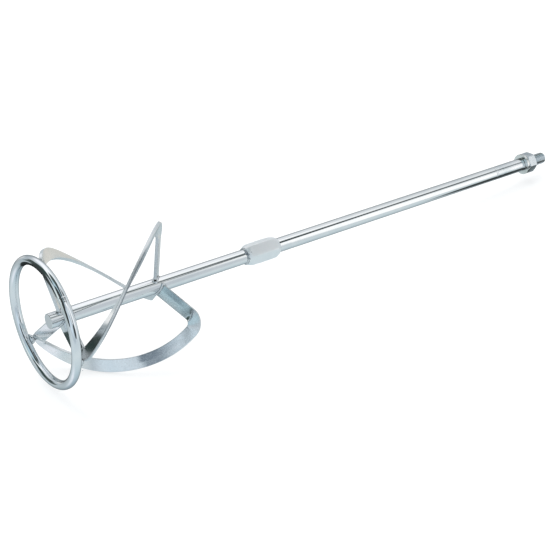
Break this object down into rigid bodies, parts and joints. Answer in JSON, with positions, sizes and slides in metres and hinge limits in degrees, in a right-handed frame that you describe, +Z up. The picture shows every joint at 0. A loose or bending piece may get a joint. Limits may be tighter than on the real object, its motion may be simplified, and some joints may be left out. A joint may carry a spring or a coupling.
{
  "type": "mortar mixing paddle",
  "caption": "Welded steel stirrer with swept flat-bar wings on a ring, a long coupling nut and a threaded shaft end, for mixing mortar with a hand-held drive.",
  "frame": {"origin": "centre of the shaft's flat foot face, inside the ring", "axes": "+Z up the shaft from the stirring end to the drive end; +X above the foot spoke of wing 1"},
  "size_m": [0.1468, 0.1486, 0.707],
  "materials": {
    "plated_bar": "bright bluish zinc plate on flat and round bar",
    "plated_round": "bright zinc plate on drawn round bar and tube",
    "plated_hex": "satin zinc plate on hexagonal nuts",
    "thread": "zinc-plated turned and threaded steel",
    "washer_steel": "zinc-plated spring steel",
    "weld_bead": "rippled weld bead, zinc plated over"
  },
  "bodies": {
    "stirrer": {"ring": "plated_bar", "ring_butt_weld": "weld_bead", "lower_shaft": "plated_round", "coupling_nut": "plated_hex", "coupling_weld": "weld_bead", "wing_1": "plated_bar", "foot_weld_1": "weld_bead", "ring_weld_1": "weld_bead", "top_weld_1": "weld_bead", "wing_2": "plated_bar", "foot_weld_2": "weld_bead", "ring_weld_2": "weld_bead", "top_weld_2": "weld_bead", "wing_3": "plated_bar", "foot_weld_3": "weld_bead", "ring_weld_3": "weld_bead", "top_weld_3": "weld_bead"},
    "extension": {"extension_stud": "thread", "upper_shaft": "plated_round", "spindle_weld": "weld_bead", "spindle_end": "thread"},
    "washer": {"lock_washer": "washer_steel"},
    "nut": {"lock_nut": "plated_hex"}
  },
  "joints": [
    {"name": "extension_unscrew", "type": "slide", "parent": "stirrer", "child": "extension", "axis": [0, 0, 1], "range_m": [0, 0.024]},
    {"name": "washer_slide", "type": "slide", "parent": "extension", "child": "washer", "axis": [0, 0, 1], "range_m": [0, 0.015]},
    {"name": "nut_spin", "type": "hinge", "parent": "washer", "child": "nut", "pos_m": [0, 0, 0.671], "axis": [0, 0, 1], "range_deg": [0, 2700]}
  ],
  "couplings": [
    {"joint": "washer_slide", "follows": "nut_spin", "m_per_rad": 0.00031831}
  ]
}
